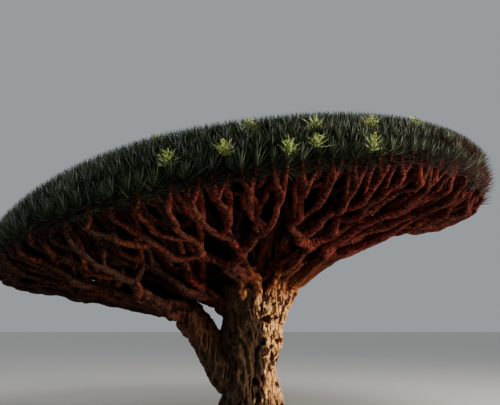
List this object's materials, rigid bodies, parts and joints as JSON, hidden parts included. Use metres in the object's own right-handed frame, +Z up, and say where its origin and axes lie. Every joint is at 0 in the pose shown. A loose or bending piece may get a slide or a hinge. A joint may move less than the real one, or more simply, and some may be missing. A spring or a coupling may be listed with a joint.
{
  "type": "dragon blood tree",
  "caption": "Whole dragon blood tree: short stout trunk with a low side stem, boughs forking in pairs and a dense umbrella crown of sword leaves with pale blossom heads.",
  "frame": {"origin": "middle of the flat cut under the trunk, at ground level", "axes": "+Z up; +X to the side where the crown's rim is highest, away from the low left stem; +Y to the far side, away from the viewer"},
  "size_m": [8.6733, 8.4888, 5.1719],
  "materials": {
    "bark": "rough, ridged, grey-brown to cream",
    "red_bark": "rough, ringed with old leaf scars, red-brown",
    "leaves": "satin, dark green sword leaves"
  },
  "bodies": {
    "root": {"trunk": "bark", "left_stem": "bark", "bough_01": "red_bark", "bough_02": "red_bark", "bough_03": "red_bark", "bough_04": "red_bark", "bough_05": "red_bark", "bough_06": "red_bark", "bough_07": "red_bark", "bough_08": "red_bark", "bough_09": "red_bark", "bough_10": "red_bark", "bough_11": "red_bark", "limb_01a": "red_bark", "limb_01b": "red_bark", "limb_02a": "red_bark", "limb_02b": "red_bark", "limb_03a": "red_bark", "limb_03b": "red_bark", "limb_04a": "red_bark", "limb_04b": "red_bark", "limb_05a": "red_bark", "limb_05b": "red_bark", "limb_06a": "red_bark", "limb_06b": "red_bark", "limb_07a": "red_bark", "limb_07b": "red_bark", "limb_08a": "red_bark", "limb_08b": "red_bark", "limb_09a": "red_bark", "limb_09b": "red_bark", "limb_10a": "red_bark", "limb_10b": "red_bark", "limb_11a": "red_bark", "limb_11b": "red_bark", "foliage_01a": "leaves", "foliage_01b": "leaves", "foliage_02a": "leaves", "foliage_02b": "leaves", "foliage_03a": "leaves", "foliage_03b": "leaves", "foliage_04a": "leaves", "foliage_04b": "leaves", "foliage_05a": "leaves", "foliage_05b": "leaves", "foliage_06a": "leaves", "foliage_06b": "leaves", "foliage_07a": "leaves", "foliage_07b": "leaves", "foliage_08a": "leaves", "foliage_08b": "leaves", "foliage_09a": "leaves", "foliage_09b": "leaves", "foliage_10a": "leaves", "foliage_10b": "leaves", "foliage_11a": "leaves", "foliage_11b": "leaves"}
  },
  "joints": []
}
